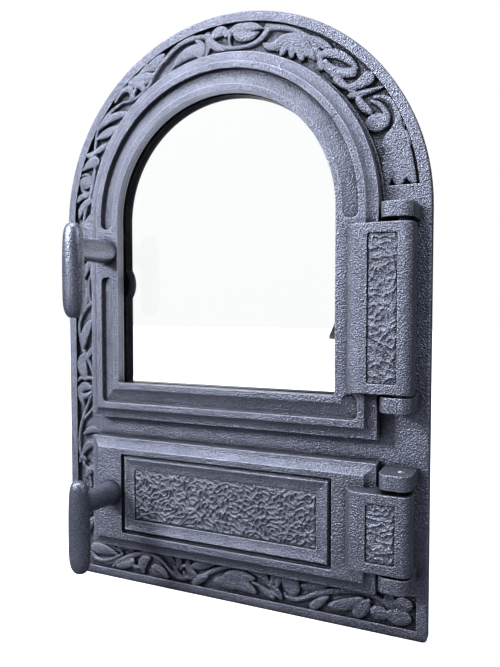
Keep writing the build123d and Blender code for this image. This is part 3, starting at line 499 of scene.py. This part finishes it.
def carved(x, z):
    """Height of the vine above its ground at every point: the highest of all the strokes.

    One stroke gives its rise times the 0.6th power of the flank, which goes from 1 at its edge
    to 0 beyond it, plus its crown times one less the cube of the distance across.
    """
    height = np.zeros_like(x)
    share = np.linspace(0.0, 1.0, STROKE_SAMPLES)
    parts = np.stack([
        (1.0 - share) * (1.0 - 2.0 * share), 4.0 * share * (1.0 - share), share * (2.0 * share - 1.0),
    ])
    groups = ((STEMS, STEM_RISE, STEM_CROWN), (LEAVES, LEAF_RISE, LEAF_CROWN))
    for strokes, rise, crown in groups:
        for start, middle, end, widths in strokes:
            line = np.array([start, middle, end]).T @ parts
            half = np.maximum(np.array(widths) @ parts / 2.0, LEAST_HALF_WIDTH)
            reach = half.max() + COVER + FLANK
            near = (
                (x > line[0].min() - reach) & (x < line[0].max() + reach)
                & (z > line[1].min() - reach) & (z < line[1].max() + reach)
            )
            if not near.any():
                continue
            away = np.hypot(x[near][:, None] - line[0], z[near][:, None] - line[1])
            across = (away / half).min(axis=1)
            outside = (away - half).min(axis=1)
            flank = np.clip((COVER + FLANK - outside) / FLANK, 0.0, 1.0)
            crowned = np.clip(1.0 - across ** CROWN_POWER, 0.0, 1.0)
            top = rise * flank ** FLANK_POWER + crown * crowned
            height[near] = np.maximum(height[near], top)
    return height


# The strips of vine, in millimetres. The arch's strip ends above the upper hinge, and the
# foot's strip ends at the right rim.
STEP = 0.4
BAND_INNER, BAND_OUTER = 131.0, 157.0
SPRING_HEIGHT = 323.0
BAND_FOOT, BAND_SILL = 8.0, 34.0
ARCH_END = math.radians(6.4)
FOOT_END = 155.5
BURIED_DEPTH = 3.0


def steps(start, end):
    """Values from start to end, about one grid step apart."""
    return np.linspace(start, end, int(round(abs(end - start) / STEP)) + 1)


def vine_piece(name, x, z, sides):
    """Strip of vine over a grid of places, its free sides buried in the iron."""
    depth = RELIEF_FLOOR + GROUND_LIFT + carved(x, z)
    piece = surface(name, placed(x, buried(depth, sides, BURIED_DEPTH), z), plate_iron, "frame")


angle, radius = np.meshgrid(
    np.linspace(math.pi, ARCH_END, int((math.pi - ARCH_END) * BAND_OUTER / STEP)),
    steps(BAND_INNER, BAND_OUTER), indexing="ij",
)
vine_piece(
    "vine_arch", radius * np.cos(angle), SPRING_HEIGHT + radius * np.sin(angle),
    (ROW_LAST, COLUMN_FIRST, COLUMN_LAST),
)
side_x, side_z = np.meshgrid(
    steps(-BAND_OUTER, -BAND_INNER), steps(BAND_SILL, SPRING_HEIGHT), indexing="ij",
)
vine_piece("vine_side", side_x, side_z, (ROW_FIRST, ROW_LAST))
foot_x, foot_z = np.meshgrid(
    steps(-BAND_OUTER, FOOT_END), steps(BAND_FOOT, BAND_SILL), indexing="ij",
)
past_side = np.s_[int(round((BAND_OUTER - BAND_INNER) / STEP)):, -1]
vine_piece("vine_foot", foot_x, foot_z, (ROW_FIRST, ROW_LAST, COLUMN_FIRST, past_side))

# %% [markdown]
# The sunk fields of the lower door and of the hinge plates are cast with a wrinkled skin like
# old leather. It is filtered noise: random values, of which only waves of about one length are
# kept, and at half strength longer ones. The skin is highest where the noise crosses zero,
# which draws thin wandering ridges with hollows between them.


# %% Wrinkled fields
# The bell curves' width, as a share of the wave's frequency, and the second curve's place.
RING_SPREAD = 0.45
LONGER, LONGER_SHARE = 2.4, 0.5
RIDGE_SHARPNESS = 1.3
FADE_WIDTH = 2.5
BURIED_UNDER_FLOOR = 0.4


def wrinkles(shape, wavelength, seed):
    """Height from 0 to 1 on a grid of that shape: 1 less the size of tanh(1.3 wave / deviation).

    The wave is noise of which each frequency is kept by a bell curve round the wavelength,
    plus half of a second bell curve round 2.4 times the wavelength.
    """
    noise = np.random.default_rng(seed).standard_normal(shape)
    along = np.fft.fftfreq(shape[0], STEP)[:, None]
    up = np.fft.fftfreq(shape[1], STEP)[None, :]
    waves = np.hypot(along, up) * wavelength
    short = np.exp(-(((waves - 1.0) / RING_SPREAD) ** 2))
    long = np.exp(-(((LONGER * waves - 1.0) / RING_SPREAD) ** 2))
    wave = np.fft.ifft2(np.fft.fft2(noise) * (short + LONGER_SHARE * long)).real
    return 1.0 - abs(np.tanh(RIDGE_SHARPNESS * wave / wave.std()))


def field(name, body, middle, size, floor_depth, height, wavelength, seed):
    """Sunk field with a wrinkled skin that fades out at its edge."""
    x, z = np.meshgrid(
        steps(middle[0] - size[0] / 2, middle[0] + size[0] / 2),
        steps(middle[1] - size[1] / 2, middle[1] + size[1] / 2), indexing="ij",
    )
    margin = np.minimum(size[0] / 2 - abs(x - middle[0]), size[1] / 2 - abs(z - middle[1]))
    fade = np.clip(margin / FADE_WIDTH, 0.0, 1.0)
    depth = floor_depth + GROUND_LIFT + height * fade * wrinkles(x.shape, wavelength, seed)
    sides = (ROW_FIRST, ROW_LAST, COLUMN_FIRST, COLUMN_LAST)
    depth = buried(depth, sides, floor_depth - BURIED_UNDER_FLOOR)
    piece = surface(name, placed(x, depth, z), plate_iron, body)


field(
    "panel_field", "lower_door", middle=(0.0, 85.45), size=(166.8, 45.1),
    floor_depth=20.3, height=1.6, wavelength=7.0, seed=11,
)
field(
    "upper_hinge_field", "upper_door", middle=(136.0, 248.6), size=(21.6, 106.6),
    floor_depth=36.6, height=1.3, wavelength=8.5, seed=12,
)
field(
    "lower_hinge_field", "lower_door", middle=(136.0, 88.1), size=(21.6, 43.4),
    floor_depth=36.6, height=1.3, wavelength=8.5, seed=14,
)

# %% [markdown]
# The ropes run round the doors in closed loops. A loop is followed at even steps, and at each
# step the section is a rounded rectangle. Two sets of strands wind round it, one each way, and
# the surface dips where neither set is on top, which makes the diamonds of a braid.


# %% Ropes
BRAID_DIP = 0.55
SQUARENESS = 0.6


def rounded_corner(middle, radius, start):
    """Quarter circle round its middle, from a start angle in degrees, turning left."""
    turn = np.radians(np.linspace(start, start + 90.0, 9))
    return np.stack([middle[0] + radius * np.cos(turn), middle[1] + radius * np.sin(turn)], axis=-1)


def loop(half_width, foot, head, corner):
    """Outline as points, from the lower left corner turning left; head None is a round arch."""
    side, low = half_width - corner, foot + corner
    pieces = [rounded_corner((-side, low), corner, 180.0), rounded_corner((side, low), corner, 270.0)]
    if head is None:
        turn = np.linspace(0.0, math.pi, 181)
        pieces.append(np.stack([
            half_width * np.cos(turn), SPRING_HEIGHT + half_width * np.sin(turn),
        ], axis=-1))
    else:
        high = head - corner
        pieces.append(rounded_corner((side, high), corner, 0.0))
        pieces.append(rounded_corner((-side, high), corner, 90.0))
    return np.concatenate(pieces)


def rope(node, body, outline, depth, width, thickness, pitch, step, columns):
    """Braided rope along a closed outline, in place of the plain rope node.

    Round the section, half the width times the 0.6th power of the cosine of the turn goes
    outward, and half the thickness times that of the sine goes forward. Both shrink by up to
    0.55 where neither strand is on top. The strands are the cosines of twice the turn plus and
    minus the winding, which grows evenly along the rope.
    """
    closed = np.concatenate([outline, outline[:1]])
    run = np.concatenate([[0.0], np.cumsum(np.hypot(*np.diff(closed, axis=0).T))])
    even = np.linspace(0.0, run[-1], int(run[-1] / step), endpoint=False)
    line = np.stack([np.interp(even, run, closed[:, 0]), np.interp(even, run, closed[:, 1])], axis=-1)
    ahead = np.roll(line, -1, axis=0) - np.roll(line, 1, axis=0)
    ahead /= np.hypot(ahead[:, 0], ahead[:, 1])[:, None]
    turn = np.linspace(0.0, 2.0 * math.pi, columns, endpoint=False)[None, :]
    wind = math.pi * round(run[-1] / pitch) * (even / run[-1])[:, None]
    on_top = np.maximum(abs(np.cos(2.0 * turn + wind)), abs(np.cos(2.0 * turn - wind)))
    swell = 1.0 - BRAID_DIP * (1.0 - on_top)
    outward = width / 2.0 * np.sign(np.cos(turn)) * abs(np.cos(turn)) ** SQUARENESS * swell
    forward = thickness / 2.0 * np.sign(np.sin(turn)) * abs(np.sin(turn)) ** SQUARENESS * swell
    points = placed(
        line[:, :1] + ahead[:, 1:] * outward, depth + forward, line[:, 1:] - ahead[:, :1] * outward,
    )
    piece = surface(f"{node}_braid", points, rope_fibre, body, closed=True)
    crest = piece.data.attributes.new("crest", "FLOAT", "POINT")
    crest.data.foreach_set("value", on_top.astype(np.float32).ravel())
    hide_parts(node)


# The doors' outlines and how far in from them each rope's middle runs.
DOOR_HALF_WIDTH = 129.0
UPPER_FOOT, LOWER_FOOT, LOWER_HEAD = 152.0, 36.0, 134.0
ROPE_INSET, GLASS_INSET = 6.75, 28.8
DOOR_ROPE = {
    "depth": 11.4, "width": 5.5, "thickness": 8.2, "pitch": 5.0, "step": 0.6, "columns": 32,
}
rope(
    "upper_door_rope", "upper_door",
    loop(DOOR_HALF_WIDTH - ROPE_INSET, UPPER_FOOT + ROPE_INSET, head=None, corner=3.0), **DOOR_ROPE,
)
rope(
    "lower_door_rope", "lower_door",
    loop(DOOR_HALF_WIDTH - ROPE_INSET, LOWER_FOOT + ROPE_INSET, LOWER_HEAD - ROPE_INSET, corner=3.0),
    **DOOR_ROPE,
)
rope(
    "glass_rope", "upper_door",
    loop(DOOR_HALF_WIDTH - GLASS_INSET, UPPER_FOOT + GLASS_INSET, head=None, corner=2.0),
    depth=14.5, width=3.6, thickness=2.0, pitch=2.9, step=0.45, columns=24,
)

# %% [markdown]
# The stage is a pale floor that takes the door's soft shadow. The camera and the glass see a
# white room. The light that falls on the iron, and what the iron mirrors, is a cool sky that is
# bright above on the left and dark below and behind, which is what gives polished iron its
# modelling. Soft lamps add the streaks on the mouldings and light the back.

# %% Stage and light
FLOOR_HALF = 6.0
FLOOR_GLOW = 0.62
FLOOR_SEEN, FLOOR_MIRRORED = (0.90, 0.90, 0.90, 1.0), (0.05, 0.05, 0.06, 1.0)
SKY_AIM = (-0.40, -0.20, 0.89)
SKY_COLOUR = (0.85, 0.90, 1.12, 1.0)
LAMP_COLOUR = (0.88, 0.92, 1.0)
SKY_STRENGTH = 2.3
SKY_FOCUS = 3.0


def seen_directly(tree):
    """1 for what the camera sees, also through glass, and 0 for light and mirror images."""
    rays = add_node(tree, "LightPath")
    seen = add_node(tree, "Math", {"operation": "MAXIMUM"})
    tree.links.new(rays.outputs["Is Camera Ray"], seen.inputs[0])
    tree.links.new(rays.outputs["Is Transmission Ray"], seen.inputs[1])
    return seen.outputs["Value"]


bpy.ops.mesh.primitive_plane_add(size=2 * FLOOR_HALF, location=(0.0, 0.0, 0.0))
floor = bpy.context.object
floor.name = "floor"
floor_material, floor_tree, floor_shader = new_material("floor_white")
floor_seen = seen_directly(floor_tree)
floor_tree.links.new(
    mix_colour(floor_tree, floor_seen, FLOOR_MIRRORED, FLOOR_SEEN), floor_shader.inputs["Base Color"],
)
floor_shader.inputs["Roughness"].default_value = 0.9
floor_shader.inputs["Emission Color"].default_value = (1.0, 1.0, 1.0, 1.0)
floor_tree.links.new(
    scaled(floor_tree, floor_seen, 0.0, 1.0, 0.0, FLOOR_GLOW),
    floor_shader.inputs["Emission Strength"],
)
floor.data.materials.append(floor_material)

world = bpy.data.worlds.new("white_room")
bpy.context.scene.world = world
world.use_nodes = True
sky = world.node_tree
sky.nodes.clear()
aim = add_node(sky, "VectorMath", {"operation": "DOT_PRODUCT"})
sky.links.new(add_node(sky, "TexCoord").outputs["Generated"], aim.inputs[0])
aim.inputs[1].default_value = SKY_AIM
ramp = scaled(sky, aim.outputs["Value"], -0.1, 1.0, 0.10, 1.0)
steep = add_node(sky, "Math", {"operation": "POWER"})
sky.links.new(ramp, steep.inputs[0])
steep.inputs[1].default_value = SKY_FOCUS
lit = add_node(sky, "Background", Color=SKY_COLOUR)
strength = scaled(sky, steep.outputs["Value"], 0.0, 1.0, 0.0, SKY_STRENGTH)
sky.links.new(strength, lit.inputs["Strength"])
plain = add_node(sky, "Background", Color=(1.0, 1.0, 1.0, 1.0), Strength=1.0)
chosen = add_node(sky, "MixShader")
sky.links.new(seen_directly(sky), chosen.inputs[0])
sky.links.new(lit.outputs["Background"], chosen.inputs[1])
sky.links.new(plain.outputs["Background"], chosen.inputs[2])
sky_output = add_node(sky, "OutputWorld")
sky.links.new(chosen.outputs["Shader"], sky_output.inputs["Surface"])


def soft_lamp(name, place, aim, size, watts):
    """Square area lamp that points from its place to its aim and can't be seen itself."""
    lamp_data = bpy.data.lights.new(name, "AREA")
    lamp_data.shape = "SQUARE"
    lamp_data.size = size
    lamp_data.energy = watts
    lamp_data.color = LAMP_COLOUR
    lamp = bpy.data.objects.new(name, lamp_data)
    lamp.location = place
    lamp.visible_camera = False
    lamp.visible_transmission = False
    towards = np.subtract(aim, place)
    flat = math.hypot(towards[0], towards[1])
    lamp.rotation_euler = (
        math.atan2(flat, -towards[2]), 0.0, math.atan2(-towards[0], towards[1]),
    )
    bpy.context.scene.collection.objects.link(lamp)


soft_lamp("lamp_above", (-0.35, -0.55, 1.5), (0.0, 0.0, 0.20), 0.5, 14.0)
soft_lamp("lamp_left", (-1.1, -1.2, 0.9), (0.0, 0.0, 0.20), 0.40, 30.0)
soft_lamp("lamp_behind", (-1.0, 1.4, 0.6), (0.0, 0.0, 0.25), 0.8, 10.0)
soft_lamp("lamp_side", (1.2, -0.5, 1.0), (0.0, 0.0, 0.30), 0.6, 8.0)
print("Stage and light are set")
